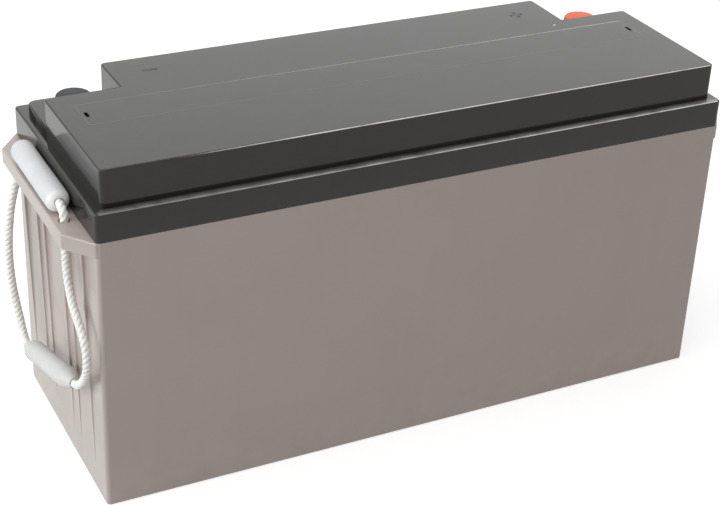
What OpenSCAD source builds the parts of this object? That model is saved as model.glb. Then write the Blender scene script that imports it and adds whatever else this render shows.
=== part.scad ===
// Deep cycle lead-acid battery block with a stepped lid, two covered terminals
// and a rope carrying handle at each end.
// Millimetres. Origin at the middle of the underside, X along the case, Y towards the terminals, Z up.

/* [Case] */
// Length of the case without the end flanges
case_length = 458; // [446:1:480]
// Width of the case
case_width = 170; // [166:1:190]
// Height of the container up to the lid
wall_height = 195; // [193:0.5:210]
// Radius of the upright corners
corner_radius = 3; // [2.5:0.5:5]
// Thickness of the long side walls
side_wall = 5; // [4.5:0.5:6]
// Thickness of the end walls
end_wall = 6.5; // [6:0.5:8]
// Thickness of the floor
floor_thickness = 5; // [4:0.5:7]
// Thickness of the walls between the cells
partition_wall = 2.5; // [2:0.5:3.5]
// Height of the rests that carry the plates
rest_height = 4; // [3:0.5:6]
// Width of the rests
rest_width = 6; // [4:0.5:10]
// Distance between the two rests of a cell
rest_spacing = 80; // [50:1:110]

/* [End walls] */
// Reach of the flange beyond the end wall
flange_reach = 15.5; // [14:0.5:20]
// Thickness of the flange
flange_thickness = 10.5; // [8:0.5:13]
// Length of the flange along its outer edge
flange_edge = 129; // [120:1:150]
// Margin between the flange and the long side at its root
flange_margin = 0.5; // [0.5:0.5:3]
// Distance between the two rope holes of a flange
rope_hole_spacing = 96; // [88:1:104]
// Distance of the rope holes from the end wall
rope_hole_offset = 8; // [7.5:0.5:9]
// Diameter of the rope holes
rope_hole_diameter = 7.2; // [6.8:0.1:8]
// Reach of the gussets where they meet the flange
gusset_reach = 3; // [2:0.25:4]
// Thickness of a gusset
gusset_thickness = 3; // [2:0.5:4]
// Distance of the gussets from their middle line
gusset_places = [19.5, 35, 64]; // [14:0.5:68]
// Distance of that middle line from the middle of the end wall
gusset_shift = 3; // [0:0.5:8]
// Height at which the gussets run out
gusset_foot = 18; // [10:1:40]

/* [Lid] */
// Height of the band that continues the case walls
band_height = 19.5; // [17:0.5:24]
// Height of the terminal floor above the band
plateau_height = 6; // [4:0.5:7]
// Height of the top above the band
block_height = 25.5; // [24:0.5:32]
// Ledge at the short ends
end_ledge = 6; // [5:0.5:9]
// Ledge along the front
front_ledge = 6.5; // [5:0.5:9]
// Ledge along the rear
rear_ledge = 8.5; // [7:0.5:12]
// Length of a terminal pocket along the case
pocket_length = 52; // [46:1:58]
// Extra length of the pocket at the positive end
pocket_extra = 2; // [0:0.5:5]
// Depth of a terminal pocket from the rear of the block
pocket_depth = 43; // [40:1:48]
// Radius of the upright corners of the blocks
block_radius = 3; // [2:0.5:4]
// Radius of the terminal floor's corners
plateau_radius = 6; // [4:0.5:8]
// Thickness of the lid's walls and roof
lid_wall = 4; // [3.5:0.5:5]
// Distance of the joining tongue from the outside
tongue_inset = 1.5; // [1.2:0.1:2]
// Thickness of the joining tongue
tongue_width = 2; // [1.5:0.1:2.2]
// Height of the joining tongue
tongue_height = 5; // [4:0.5:7]
// Thickness of the sealing bead over the tongue
seal_thickness = 1; // [0.6:0.1:1.5]
// Size of the polarity marks
mark_size = 10; // [7:0.5:14]
// Width of the strokes of the polarity marks
mark_stroke = 2; // [1.5:0.5:3]
// Depth of the polarity marks
mark_depth = 0.6; // [0.4:0.1:1]
// Distance of the polarity marks from the ends of the rear block
mark_inset = 27.5; // [20:0.5:36]
// Diameter of the moulding mark beside the positive terminal
gate_diameter = 3.5; // [2:0.5:5]
// Distance of the moulding mark from the pocket along the case
gate_inset = 11.5; // [6:0.5:20]
// Distance of the moulding mark from the pocket across the case
gate_margin = 7.5; // [4:0.5:9]

/* [Vent cover] */
// Distance of the cover from the ends of the block
cover_margin = 15; // [12:0.5:18]
// Width of the cover
cover_width = 31.5; // [29:0.5:34]
// Thickness of the cover
cover_thickness = 2.5; // [2:0.5:4]
// Radius of the cover's corners
cover_radius = 2; // [1:0.5:4]
// Seam around the cover
cover_seam = 0.3; // [0.2:0.1:0.6]
// Width of the seat under the cover's edge
cover_seat = 5; // [4:0.5:6]
// Length of the pry slots at the cover's ends
pry_length = 7; // [5:0.5:10]
// Width of the pry slots
pry_width = 2; // [1.5:0.5:3]
// Depth of the pry slots
pry_depth = 1.5; // [1:0.1:1.8]
// Diameter of the vent spigots
spigot_diameter = 12; // [10:0.5:13]
// Bore of the vent spigots
spigot_bore = 6; // [4:0.5:7]
// Height of the vent spigots
spigot_height = 12; // [10:0.5:14]
// Wall of the rubber valve caps
valve_wall = 1.6; // [1.2:0.1:2]
// Room between a spigot and its valve cap
valve_gap = 0.2; // [0.1:0.05:0.3]
// Height of a valve cap's skirt on its spigot
valve_skirt = 9; // [7:0.5:11]

/* [Terminals] */
// Distance of the terminals from the rear of the block
terminal_margin = 23; // [20:0.5:26]
// Distance of the positive terminal from the middle of its pocket, towards the end
positive_shift = 3; // [0:0.5:6]
// Diameter of the terminal heads
terminal_diameter = 17; // [15:0.5:18]
// Height of the terminal heads
terminal_height = 3.5; // [3:0.5:5]
// Diameter of the terminal stems
stem_diameter = 12; // [11:0.5:13]
// Radius of the tapped hole
tapped_radius = 3.4; // [3.2:0.1:4]
// Depth of the tapped hole
tapped_depth = 15; // [12:0.5:18]
// Diameter of the terminal seals
seal_diameter = 19; // [18.5:0.5:21]
// Depth of the terminal seals in the lid
seal_depth = 2.5; // [2:0.25:2.75]
// Room around the stems and the seals
terminal_gap = 0.3; // [0.2:0.1:0.5]
// Diameter of the terminal caps
cap_diameter = 24.5; // [23.5:0.5:25]
// Height of the terminal caps
cap_height = 11.3; // [10:0.1:14]
// Thickness of the caps' walls and tops
cap_wall = 2.2; // [1.6:0.1:2.4]
// Rounding of the caps' upper edges
cap_edge = 2.5; // [2:0.5:4]
// Rise of the caps' tops in the middle
cap_crown = 0.6; // [0.4:0.1:1]

/* [Cells] */
// Thickness of a positive plate
positive_thickness = 3.6; // [3:0.1:4.2]
// Thickness of a negative plate
negative_thickness = 2.8; // [2.2:0.1:3.2]
// Positive plates in a cell
positive_count = 6; // [5:1:7]
// Room between the plate stack and the cell's walls lengthwise
stack_gap = 0.8; // [0.5:0.1:1.5]
// Room between the plates and the long walls
plate_side_gap = 5; // [4:0.5:8]
// Room between the cell links and the lid
head_room = 6.5; // [3:0.5:16]
// Reach of the glass mats beyond the plates
mat_margin = 3; // [2:0.5:3.5]
// Width of the plate lugs
lug_width = 12; // [9:0.5:14]
// Height of the plate lugs
lug_height = 8; // [6:0.5:9]
// Width of the straps
strap_width = 16; // [14:0.5:20]
// Height of the straps
strap_height = 8; // [6:0.5:9]
// Thickness of the upright ends of a cell link
link_thickness = 5; // [4:0.5:7]
// Height of the upright ends of a cell link
link_height = 14; // [13:0.5:15]
// Diameter of a cell link where it passes a partition
link_diameter = 10; // [8:0.5:11]
// Room around a cell link in its partition
link_gap = 0.3; // [0.2:0.1:0.6]

/* [Handles] */
// Diameter of the rope
rope_diameter = 5.8; // [5:0.1:6]
// Diameter of the sleeve over the flange
sleeve_diameter = 15.5; // [13:0.5:16]
// Room between the sleeve and the case
sleeve_gap = 0.4; // [0.3:0.1:1]
// Diameter of the hand grip
grip_diameter = 14.4; // [12:0.2:15]
// Diameter of the hand grip at its ends
grip_end_diameter = 9.6; // [8.4:0.2:11]
// Length of the hand grip's tapered ends
grip_taper = 11; // [6:1:15]
// Room between the rope and the tubes on it
rope_gap = 0.4; // [0.3:0.1:0.5]

/* [Hidden] */

$fn = 48;
// Overlap used where one shape runs into another
lap = 1;
// Smallest radius of the inner corners of a frame
frame_radius = 0.5;

cell_count = 6;
inner_length = case_length - 2 * end_wall;
inner_width = case_width - 2 * side_wall;
cell_length = (inner_length - (cell_count - 1) * partition_wall) / cell_count;
cell_pitch = cell_length + partition_wall;

band_top = wall_height + band_height;
plateau_top = band_top + plateau_height;
top = band_top + block_height;
block_length = case_length - 2 * end_ledge;
block_front = -case_width / 2 + front_ledge;
block_rear = case_width / 2 - rear_ledge;
front_block_rear = block_rear - pocket_depth;
rear_block_length = block_length - 2 * pocket_length - pocket_extra;
rear_block_x = -pocket_extra / 2;
cover_length = block_length - 2 * cover_margin;
head_top = plateau_top - lid_wall;
hollow_top = top - lid_wall;

seat_z = top - cover_thickness;
rebate_half_width = cover_width / 2 + cover_seam;
hollow_inner = rebate_half_width + lid_wall;
spigot_top = plateau_top + spigot_height;

negative_x = pocket_length / 2 - block_length / 2;
positive_x = positive_shift - pocket_extra / 2 - negative_x;
terminal_y = block_rear - terminal_margin;
terminal_top = plateau_top + terminal_height;

plate_width = inner_width - 2 * plate_side_gap;
plate_foot = floor_thickness + rest_height;
link_top = wall_height - head_room;
strap_top = link_top - link_height;
lug_top = strap_top - strap_height;
plate_top = lug_top - lug_height;
negative_count = positive_count + 1;
mat_count = 2 * positive_count;
plates_length = positive_count * positive_thickness + negative_count * negative_thickness;
mat_thickness = (cell_length - 2 * stack_gap - plates_length) / mat_count;
plate_period = positive_thickness + negative_thickness + 2 * mat_thickness;
strap_length = cell_length - 2 * stack_gap;
link_z = strap_top + link_height / 2;

flange_bottom = wall_height - flange_thickness;
rope_x = case_length / 2 + rope_hole_offset;
rope_y = rope_hole_spacing / 2;
tube_bore = rope_diameter + 2 * rope_gap;

// The rope's route is given for the left end, and the right end has the same handle turned round.
// It runs from the front hole to the rear hole, as reach beyond
// the gussets, place along Y and height under the flange. The ends of the hand grip are given by the
// room behind the grip, those of the sleeve by their place along Y.
rope_sides = 10;
rope_steps = 3;
rope_start_gap = 0.3;
grip_front = [2, -51.7, -105.5];
grip_rear = [7.9, 27.4, -123.5];
loop_front_route = [[4.6, -45.9, -11.5], [4.8, -46.8, -22.4], [5.5, -51.9, -32.6],
                    [6.3, -60.3, -40.9], [6.3, -70.2, -48.5], [5.6, -78, -57.4],
                    [5.1, -81.4, -67.3], [5.1, -80.6, -78.2], [5.2, -75.1, -88.9],
                    [5.4, -62.6, -101.2]];
loop_rear_route = [[12.6, 36.3, -123.5], [12.4, 43, -119.3], [12.6, 47.5, -112.3],
                   [13.5, 50.3, -102.4], [14.8, 51.5, -90.7], [15.7, 51.6, -78.6],
                   [16.1, 51.3, -65.8], [15.7, 50.7, -50.8], [14.2, 50, -35.4],
                   [12, 49.4, -21.8]];
sleeve_front = -40;
sleeve_rear = 42;
// Bends of the rope between the sleeve and the holes, measured from the top of each hole
front_bend = [[0, 0, -1], [0, 0.4, 4]];
rear_bend = [[0, -0.6, 4.5], [0, 0, -1]];
// Last bend of the loop, measured from its end under the rear hole
loop_end_bend = [-2.8, 0.6, -5.5];
// Straight runs of the rope beside and inside the ends of the tubes on it
outer_run = 3;
inner_run = 8;
// Drop of the rope where it leaves the sleeve, and its run there
sleeve_drop = [0, 0, -1];
front_run = 4;
rear_run = 3;

// Place along the case of the middle of cell i
function cell_x(i) = (i - (cell_count - 1) / 2) * cell_pitch;
// Side of the positive strap of cell i, which alternates so that the cells join in a row
function positive_side(i) = i % 2 == 0 ? -1 : 1;
// Start of the plate stack of cell i
function stack_x(i) = cell_x(i) - cell_length / 2 + stack_gap;
// Points of the rope's route, the hand grip's ends and the sleeve's ends in the frame of the part
function loop_point(p) = [-case_length / 2 - gusset_reach - p[0], p[1], flange_bottom + p[2]];
function grip_point(p) = [-case_length / 2 - grip_diameter / 2 - p[0], p[1], flange_bottom + p[2]];
function sleeve_point(y) =
  let (off = sleeve_diameter / 2 + sleeve_gap) [-case_length / 2 - off, y, wall_height + off];
function unit(v) = v / norm(v);
// Point on a smooth curve through four route points
function curve_point(a, b, c, d, t) =
  0.5 * (2 * b + (c - a) * t + (2 * a - 5 * b + 4 * c - d) * t * t + (3 * b - a - 3 * c + d) * t * t * t);
// Smooth curve through all points of a route
function smooth(route, steps) = concat(
  [for (i = [0 : len(route) - 2], s = [0 : steps - 1])
    let (before = route[max(i - 1, 0)], after = route[min(i + 2, len(route) - 1)])
    curve_point(before, route[i], route[i + 1], after, s / steps)],
  [route[len(route) - 1]]);
// Direction of a path at point i, upright at both ends
function path_direction(path, i, first, last) =
  i == 0 ? first : i == len(path) - 1 ? last : unit(path[i + 1] - path[i - 1]);
// Ring of points square to the path
function ring(centre, direction, radius, sides) =
  let (across = unit([1, 0, 0] - direction * direction[0]), other = cross(direction, across))
  [for (k = [0 : sides - 1])
    let (turn = 360 * k / sides)
    centre + radius * (across * cos(turn) + other * sin(turn))];

// Upright block with rounded corners
module slab(length, width, radius, bottom, height) {
  translate([0, 0, bottom]) union() {
    translate([-length / 2 + radius, -width / 2, 0]) cube([length - 2 * radius, width, height]);
    translate([-length / 2, -width / 2 + radius, 0]) cube([length, width - 2 * radius, height]);
    for (x = [-1, 1], y = [-1, 1])
      translate([x * (length / 2 - radius), y * (width / 2 - radius), 0]) cylinder(r = radius, h = height);
  }
}

// Block given by its two far corners
module box(low, high) {
  translate(low) cube(high - low);
}

// Block with rounded corners between two places along Y
module bar(length, front, rear, radius, bottom, height) {
  translate([0, (front + rear) / 2, 0]) slab(length, rear - front, radius, bottom, height);
}

// Frame that follows the case walls at a distance from the outside
module wall_ring(inset, width, bottom, height) {
  difference() {
    slab(case_length - 2 * inset, case_width - 2 * inset, max(corner_radius - inset, frame_radius), bottom, height);
    slab(case_length - 2 * (inset + width), case_width - 2 * (inset + width),
         max(corner_radius - inset - width, frame_radius), bottom - lap, height + 2 * lap);
  }
}

// Shape turned from the upright onto the line between two points
module along(from, to) {
  line = to - from;
  translate(from)
    rotate([0, acos(line[2] / norm(line)), atan2(line[1], line[0])])
      children();
}

// Round cord along a path
module cord(path, first, last) {
  count = len(path);
  rings = [for (i = [0 : count - 1])
    ring(path[i], path_direction(path, i, first, last), rope_diameter / 2, rope_sides)];
  points = concat([for (r = rings, p = r) p], [path[0], path[count - 1]]);
  sides = [for (i = [0 : count - 2], k = [0 : rope_sides - 1])
    let (a = i * rope_sides + k, b = i * rope_sides + (k + 1) % rope_sides)
    each [[a, a + rope_sides, b], [b, a + rope_sides, b + rope_sides]]];
  front_end = [for (k = [0 : rope_sides - 1]) [count * rope_sides, k, (k + 1) % rope_sides]];
  last_ring = (count - 1) * rope_sides;
  rear_end = [for (k = [0 : rope_sides - 1])
    [count * rope_sides + 1, last_ring + (k + 1) % rope_sides, last_ring + k]];
  polyhedron(points = points, faces = concat(sides, front_end, rear_end));
}

// Tapered upright gusset between the left end wall and its flange
module gusset(y) {
  face = -case_length / 2;
  translate([0, y + gusset_thickness / 2, 0]) rotate([90, 0, 0]) linear_extrude(height = gusset_thickness)
    polygon([[face + lap, gusset_foot], [face, gusset_foot], [face - gusset_reach, flange_bottom],
             [face - gusset_reach, flange_bottom + lap], [face + lap, flange_bottom + lap]]);
}

// Flange with its rope holes left open at the left end
module flange() {
  root = case_width / 2 - flange_margin;
  face = -case_length / 2;
  translate([0, 0, flange_bottom]) linear_extrude(height = flange_thickness)
    polygon([[face + corner_radius, -root], [face + corner_radius, root],
             [face, root], [face - flange_reach, flange_edge / 2],
             [face - flange_reach, -flange_edge / 2], [face, -root]]);
}

module end_piece() {
  flange();
  for (place = gusset_places, side = [-1, 1]) gusset(gusset_shift + side * place);
}

module rope_holes() {
  for (side = [-1, 1])
    translate([-rope_x, side * rope_y, flange_bottom - lap])
      cylinder(d = rope_hole_diameter, h = flange_thickness + 2 * lap);
}

module container() {
  color([0.66, 0.63, 0.61]) union() {
    difference() {
      union() {
        slab(case_length, case_width, corner_radius, 0, wall_height);
        end_piece();
        mirror([1, 0, 0]) end_piece();
        wall_ring(tongue_inset, tongue_width, wall_height - lap, tongue_height + lap);
      }
      for (i = [0 : cell_count - 1])
        box([cell_x(i) - cell_length / 2, -inner_width / 2, floor_thickness],
            [cell_x(i) + cell_length / 2, inner_width / 2, wall_height + lap]);
      for (i = [0 : cell_count - 2])
        translate([cell_x(i) + cell_length / 2 - lap, positive_side(i) * terminal_y, link_z])
          rotate([0, 90, 0]) cylinder(d = link_diameter + 2 * link_gap, h = partition_wall + 2 * lap);
      rope_holes();
      mirror([1, 0, 0]) rope_holes();
    }
    for (i = [0 : cell_count - 1], side = [-1, 1])
      box([cell_x(i) - cell_length / 2, side * rest_spacing / 2 - rest_width / 2, floor_thickness - lap],
          [cell_x(i) + cell_length / 2, side * rest_spacing / 2 + rest_width / 2, plate_foot]);
  }
}

module lid_outside() {
  slab(case_length, case_width, corner_radius, wall_height, band_height);
  bar(block_length, block_front, block_rear, plateau_radius, band_top - lap, plateau_height + lap);
  bar(block_length, block_front, front_block_rear, block_radius, band_top - lap, block_height + lap);
  translate([rear_block_x, 0, 0])
    bar(rear_block_length, front_block_rear - 2 * block_radius, block_rear, block_radius,
        band_top - lap, block_height + lap);
}

// Gas space of cell i inside the lid
module lid_hollow(i) {
  low_x = max(cell_x(i) - cell_length / 2, -block_length / 2 + lid_wall);
  high_x = min(cell_x(i) + cell_length / 2, block_length / 2 - lid_wall);
  rear_limit = rear_block_length / 2 - lid_wall;
  box([low_x, block_front + lid_wall, wall_height - lap], [high_x, block_rear - lid_wall, head_top]);
  box([low_x, block_front + lid_wall, head_top - lap], [high_x, -hollow_inner, hollow_top]);
  box([low_x, hollow_inner, head_top - lap], [high_x, front_block_rear - lid_wall, hollow_top]);
  box([max(low_x, rear_block_x - rear_limit), hollow_inner, head_top - lap],
      [min(high_x, rear_block_x + rear_limit), block_rear - lid_wall, hollow_top]);
}

module terminal_cut(x) {
  translate([x, terminal_y, head_top - lap])
    cylinder(d = stem_diameter + 2 * terminal_gap, h = lid_wall + 2 * lap);
  translate([x, terminal_y, plateau_top - seal_depth])
    cylinder(d = seal_diameter + 2 * terminal_gap, h = seal_depth + lap);
}

module polarity_stroke(x, length, width) {
  translate([x - length / 2, terminal_y - width / 2, top - mark_depth])
    cube([length, width, mark_depth + lap]);
}

module polarity_marks() {
  x = rear_block_length / 2 - mark_inset;
  polarity_stroke(rear_block_x + x, mark_size, mark_stroke);
  polarity_stroke(rear_block_x + x, mark_stroke, mark_size);
  polarity_stroke(rear_block_x - x, mark_size, mark_stroke);
  translate([rear_block_x + rear_block_length / 2 - gate_inset, front_block_rear - gate_margin, top - mark_depth])
    cylinder(d = gate_diameter, h = mark_depth + lap);
}

module lid() {
  color([0.2, 0.2, 0.19]) difference() {
    union() {
      difference() {
        lid_outside();
        wall_ring(tongue_inset - terminal_gap / 2, tongue_width + terminal_gap, wall_height - lap,
                  tongue_height + seal_thickness + lap);
        for (i = [0 : cell_count - 1]) lid_hollow(i);
        slab(cover_length - 2 * cover_seat, cover_width - 2 * cover_seat, cover_radius,
             plateau_top, block_height);
        slab(cover_length + 2 * cover_seam, cover_width + 2 * cover_seam, cover_radius + cover_seam,
             seat_z, cover_thickness + lap);
        terminal_cut(negative_x);
        terminal_cut(positive_x);
        polarity_marks();
      }
      for (i = [0 : cell_count - 1])
        translate([cell_x(i), 0, plateau_top - lap]) cylinder(d = spigot_diameter, h = spigot_height + lap);
    }
    for (i = [0 : cell_count - 1])
      translate([cell_x(i), 0, head_top - lap])
        cylinder(d = spigot_bore, h = spigot_top - head_top + 2 * lap);
  }
}

module lid_seal() {
  color([0.1, 0.1, 0.1])
    wall_ring(tongue_inset, tongue_width, wall_height + tongue_height, seal_thickness);
}

module vent_cover() {
  slot_x = cover_length / 2 - 2 * pry_width;
  color([0.22, 0.22, 0.21]) difference() {
    slab(cover_length, cover_width, cover_radius, seat_z, cover_thickness);
    for (side = [-1, 1])
      translate([side * (slot_x + pry_width / 2) - pry_width / 2, -pry_length / 2, top - pry_depth])
        cube([pry_width, pry_length, pry_depth + lap]);
  }
}

// Rubber cap on the vent spigot of cell i
module valve_cap(i) {
  inner = spigot_diameter / 2 + valve_gap;
  color([0.08, 0.08, 0.08]) translate([cell_x(i), 0, spigot_top]) rotate_extrude()
    polygon([[0, 0], [inner, 0], [inner, -valve_skirt], [inner + valve_wall, -valve_skirt],
             [inner + valve_wall, valve_wall / 2], [inner, valve_wall], [0, valve_wall]]);
}

// Plates of one kind in cell i, each with a lug at its own side
module plates(i, first, thickness, count, side) {
  for (k = [0 : count - 1]) translate([stack_x(i) + first + k * plate_period, 0, 0]) union() {
    box([0, -plate_width / 2, plate_foot], [thickness, plate_width / 2, plate_top]);
    box([0, side * terminal_y - lug_width / 2, plate_top - lap],
        [thickness, side * terminal_y + lug_width / 2, lug_top]);
  }
}

module positive_plates(i) {
  color([0.36, 0.25, 0.2])
    plates(i, negative_thickness + mat_thickness, positive_thickness, positive_count, positive_side(i));
}

module negative_plates(i) {
  color([0.45, 0.46, 0.48]) plates(i, 0, negative_thickness, negative_count, -positive_side(i));
}

module glass_mats(i) {
  half = plate_width / 2 + mat_margin;
  color([0.93, 0.93, 0.9])
    for (k = [0 : positive_count - 1], offset_x = [negative_thickness, plate_period - mat_thickness])
      translate([stack_x(i) + k * plate_period + offset_x, 0, 0])
        box([0, -half, plate_foot], [mat_thickness, half, plate_top + mat_margin]);
}

module strap(i, side) {
  y = side * terminal_y;
  color([0.52, 0.53, 0.55])
    box([cell_x(i) - strap_length / 2, y - strap_width / 2, lug_top],
        [cell_x(i) + strap_length / 2, y + strap_width / 2, strap_top]);
}

// Link through the partition between cell i and the next one
module cell_link(i) {
  end_x = cell_x(i) + strap_length / 2;
  far_x = cell_x(i + 1) - strap_length / 2;
  low_y = positive_side(i) * terminal_y - strap_width / 2;
  high_y = positive_side(i) * terminal_y + strap_width / 2;
  box([end_x - link_thickness, low_y, strap_top], [end_x, high_y, link_top]);
  box([far_x, low_y, strap_top], [far_x + link_thickness, high_y, link_top]);
  translate([end_x - lap, (low_y + high_y) / 2, link_z]) rotate([0, 90, 0])
    cylinder(d = link_diameter, h = far_x - end_x + 2 * lap);
}

module cell_links() {
  color([0.55, 0.56, 0.58]) for (i = [0 : cell_count - 2]) union() cell_link(i);
}

module terminal(x) {
  color([0.62, 0.62, 0.6]) translate([x, terminal_y, 0]) difference() {
    union() {
      translate([0, 0, strap_top]) cylinder(d = stem_diameter, h = plateau_top - strap_top + lap);
      translate([0, 0, plateau_top]) cylinder(d = terminal_diameter, h = terminal_height);
    }
    translate([0, 0, terminal_top - tapped_depth]) cylinder(r = tapped_radius, h = tapped_depth + lap);
  }
}

module terminal_seal(x) {
  translate([x, terminal_y, plateau_top - seal_depth]) difference() {
    cylinder(d = seal_diameter, h = seal_depth);
    translate([0, 0, -lap]) cylinder(d = stem_diameter + 2 * terminal_gap, h = seal_depth + 2 * lap);
  }
}

// Push-on cap over a terminal
module terminal_cap(x) {
  outer = cap_diameter / 2;
  inner = outer - cap_wall;
  shoulder = cap_height - cap_crown;
  edge = [outer - cap_edge, shoulder - cap_edge];
  rounding = [for (a = [0 : 15 : 90]) edge + cap_edge * [cos(a), sin(a)]];
  translate([x, terminal_y, plateau_top]) rotate_extrude()
    polygon(concat([[inner, 0], [outer, 0]], rounding,
                   [[0, cap_height], [0, cap_height - cap_wall], [inner - cap_wall, cap_height - cap_wall],
                    [inner, cap_height - 2 * cap_wall]]));
}

module top_sleeve() {
  from = sleeve_point(sleeve_front);
  to = sleeve_point(sleeve_rear);
  color([0.93, 0.94, 0.95]) along(from, to) difference() {
    cylinder(d = sleeve_diameter, h = norm(to - from));
    translate([0, 0, -lap]) cylinder(d = tube_bore, h = norm(to - from) + 2 * lap);
  }
}

module hand_grip() {
  from = grip_point(grip_front);
  to = grip_point(grip_rear);
  length = norm(to - from);
  color([0.95, 0.95, 0.94]) along(from, to) rotate_extrude()
    polygon([[tube_bore / 2, 0], [grip_end_diameter / 2, 0],
             [grip_diameter / 2, grip_taper], [grip_diameter / 2, length - grip_taper],
             [grip_end_diameter / 2, length], [tube_bore / 2, length]]);
}

// Rope held in the flange and the sleeve
module rope_anchor() {
  from = sleeve_point(sleeve_front);
  to = sleeve_point(sleeve_rear);
  line = unit(to - from);
  front_hole = [-rope_x, -rope_y, wall_height];
  rear_hole = [-rope_x, rope_y, wall_height];
  drop = [0, 0, -flange_thickness];
  front = concat([front_hole + drop], [for (p = front_bend) front_hole + p],
                 [from - line * front_run + sleeve_drop, from]);
  rear = concat([to, to + line * rear_run + sleeve_drop], [for (p = rear_bend) rear_hole + p],
                [rear_hole + drop]);
  path = concat(smooth(front, rope_steps), [from + line * inner_run, to - line * inner_run],
                smooth(rear, rope_steps));
  color([0.97, 0.97, 0.96]) cord(path, [0, 0, 1], [0, 0, -1]);
}

// Free rope that hangs from the two holes through the hand grip
module rope_loop() {
  from = grip_point(grip_front);
  to = grip_point(grip_rear);
  line = unit(to - from);
  front_start = [-rope_x, -rope_y, flange_bottom - rope_start_gap];
  rear_end = [-rope_x, rope_y, flange_bottom - rope_start_gap];
  front = concat([front_start], [for (p = loop_front_route) loop_point(p)],
                 [from - line * outer_run, from]);
  rear = concat([to, to + line * outer_run], [for (p = loop_rear_route) loop_point(p)],
                [rear_end + loop_end_bend, rear_end]);
  path = concat(smooth(front, rope_steps), [from + line * inner_run, to - line * inner_run],
                smooth(rear, rope_steps));
  color([0.97, 0.97, 0.96]) cord(path, [0, 0, -1], [0, 0, 1]);
}

container();
lid();
lid_seal();
vent_cover();
valve_cap(0);  // valve_cap_1
valve_cap(1);  // valve_cap_2
valve_cap(2);  // valve_cap_3
valve_cap(3);  // valve_cap_4
valve_cap(4);  // valve_cap_5
valve_cap(5);  // valve_cap_6
positive_plates(0);  // cell_1_positive_plates
negative_plates(0);  // cell_1_negative_plates
glass_mats(0);  // cell_1_glass_mats
strap(0, positive_side(0));  // cell_1_positive_strap
strap(0, -positive_side(0));  // cell_1_negative_strap
positive_plates(1);  // cell_2_positive_plates
negative_plates(1);  // cell_2_negative_plates
glass_mats(1);  // cell_2_glass_mats
strap(1, positive_side(1));  // cell_2_positive_strap
strap(1, -positive_side(1));  // cell_2_negative_strap
positive_plates(2);  // cell_3_positive_plates
negative_plates(2);  // cell_3_negative_plates
glass_mats(2);  // cell_3_glass_mats
strap(2, positive_side(2));  // cell_3_positive_strap
strap(2, -positive_side(2));  // cell_3_negative_strap
positive_plates(3);  // cell_4_positive_plates
negative_plates(3);  // cell_4_negative_plates
glass_mats(3);  // cell_4_glass_mats
strap(3, positive_side(3));  // cell_4_positive_strap
strap(3, -positive_side(3));  // cell_4_negative_strap
positive_plates(4);  // cell_5_positive_plates
negative_plates(4);  // cell_5_negative_plates
glass_mats(4);  // cell_5_glass_mats
strap(4, positive_side(4));  // cell_5_positive_strap
strap(4, -positive_side(4));  // cell_5_negative_strap
positive_plates(5);  // cell_6_positive_plates
negative_plates(5);  // cell_6_negative_plates
glass_mats(5);  // cell_6_glass_mats
strap(5, positive_side(5));  // cell_6_positive_strap
strap(5, -positive_side(5));  // cell_6_negative_strap
cell_links();
terminal(negative_x);  // negative_terminal
terminal(positive_x);  // positive_terminal
color([0.12, 0.12, 0.12]) terminal_seal(negative_x);  // negative_seal
color([0.75, 0.12, 0.08]) terminal_seal(positive_x);  // positive_seal
color([0.16, 0.16, 0.17]) terminal_cap(negative_x);  // negative_cap
color([0.86, 0.24, 0.13]) terminal_cap(positive_x);  // positive_cap
top_sleeve();  // left_top_sleeve
rope_anchor();  // left_rope_anchor
rope_loop();  // left_rope_loop
hand_grip();  // left_hand_grip
rotate([0, 0, 180]) top_sleeve();  // right_top_sleeve
rotate([0, 0, 180]) rope_anchor();  // right_rope_anchor
rotate([0, 0, 180]) rope_loop();  // right_rope_loop
rotate([0, 0, 180]) hand_grip();  // right_hand_grip
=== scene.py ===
"""Looks of a deep cycle battery block: moulded case and lid, covered terminals, rope handles.

The frame gives the construction and the motion. Sizes here are in millimetres in the part's own frame,
X along the case, Y towards the terminals, Z up, and are turned into metres where a mesh is made. They
come from the boxes of the solids, or repeat the sizes of the part's source.
"""

import math

import bmesh
import bpy
from mathutils import Matrix, Vector
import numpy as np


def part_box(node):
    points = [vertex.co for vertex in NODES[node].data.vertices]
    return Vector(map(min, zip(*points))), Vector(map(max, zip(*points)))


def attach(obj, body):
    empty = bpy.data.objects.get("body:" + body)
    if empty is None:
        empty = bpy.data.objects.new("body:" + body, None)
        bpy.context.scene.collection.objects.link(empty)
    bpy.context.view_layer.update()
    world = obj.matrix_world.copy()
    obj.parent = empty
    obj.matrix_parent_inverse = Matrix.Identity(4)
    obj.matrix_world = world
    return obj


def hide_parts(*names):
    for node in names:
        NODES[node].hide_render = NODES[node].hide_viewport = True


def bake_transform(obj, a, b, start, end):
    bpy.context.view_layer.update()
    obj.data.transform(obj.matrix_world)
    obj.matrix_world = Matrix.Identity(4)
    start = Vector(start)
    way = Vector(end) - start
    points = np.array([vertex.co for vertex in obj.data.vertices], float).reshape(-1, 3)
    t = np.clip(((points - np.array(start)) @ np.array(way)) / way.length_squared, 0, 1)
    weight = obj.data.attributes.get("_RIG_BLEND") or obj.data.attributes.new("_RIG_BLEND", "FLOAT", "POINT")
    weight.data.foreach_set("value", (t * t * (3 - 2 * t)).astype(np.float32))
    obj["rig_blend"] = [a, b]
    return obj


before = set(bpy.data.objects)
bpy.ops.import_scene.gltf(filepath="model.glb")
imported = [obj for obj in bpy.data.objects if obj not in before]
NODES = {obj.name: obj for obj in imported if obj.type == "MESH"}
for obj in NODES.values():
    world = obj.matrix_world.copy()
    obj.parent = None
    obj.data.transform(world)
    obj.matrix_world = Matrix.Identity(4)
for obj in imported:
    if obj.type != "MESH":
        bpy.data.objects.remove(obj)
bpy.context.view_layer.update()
MM = 0.001
UP = Vector((0, 0, 1))


# Sizes

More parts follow.
